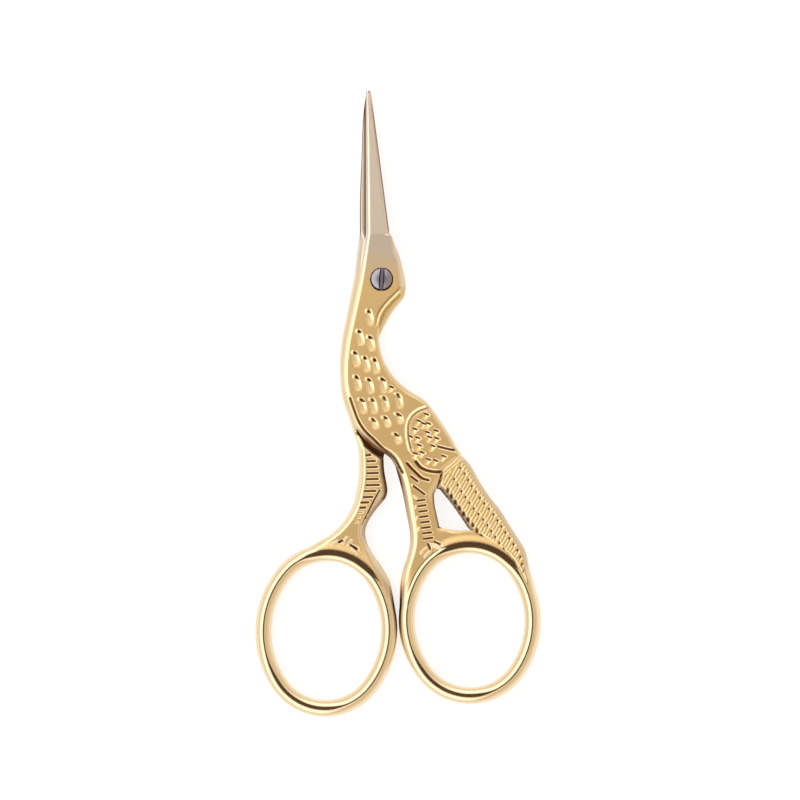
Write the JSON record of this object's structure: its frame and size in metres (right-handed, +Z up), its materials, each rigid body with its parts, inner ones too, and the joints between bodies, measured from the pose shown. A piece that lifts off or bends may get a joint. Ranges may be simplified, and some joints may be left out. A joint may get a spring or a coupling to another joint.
{
  "type": "stork embroidery scissors",
  "caption": "Small needlework scissors shaped as a stork: slender blades for a beak, feathered body, ribbed legs and oval finger bows, turning on a slotted screw.",
  "frame": {"origin": "middle of the closed scissors seen from above, on the surface that they lie on", "axes": "+Y along the scissors towards the blade tips, +X towards the front half's bow, +Z up out of the front face, along the pivot"},
  "size_m": [0.0526, 0.115, 0.0037],
  "materials": {
    "gold_plated_steel": "forged steel, thinly gold plated and polished, the blades left as bright bare steel",
    "screw_steel": "turned and polished nickel-plated steel"
  },
  "bodies": {
    "rear": {"rear_half": "gold_plated_steel", "pivot_screw": "screw_steel"},
    "front": {"front_half": "gold_plated_steel"}
  },
  "joints": [
    {"name": "pivot", "type": "hinge", "parent": "rear", "child": "front", "pos_m": [-0.003, 0.02295, 0.0017], "axis": [0, 0, 1], "range_deg": [0, 90]}
  ]
}
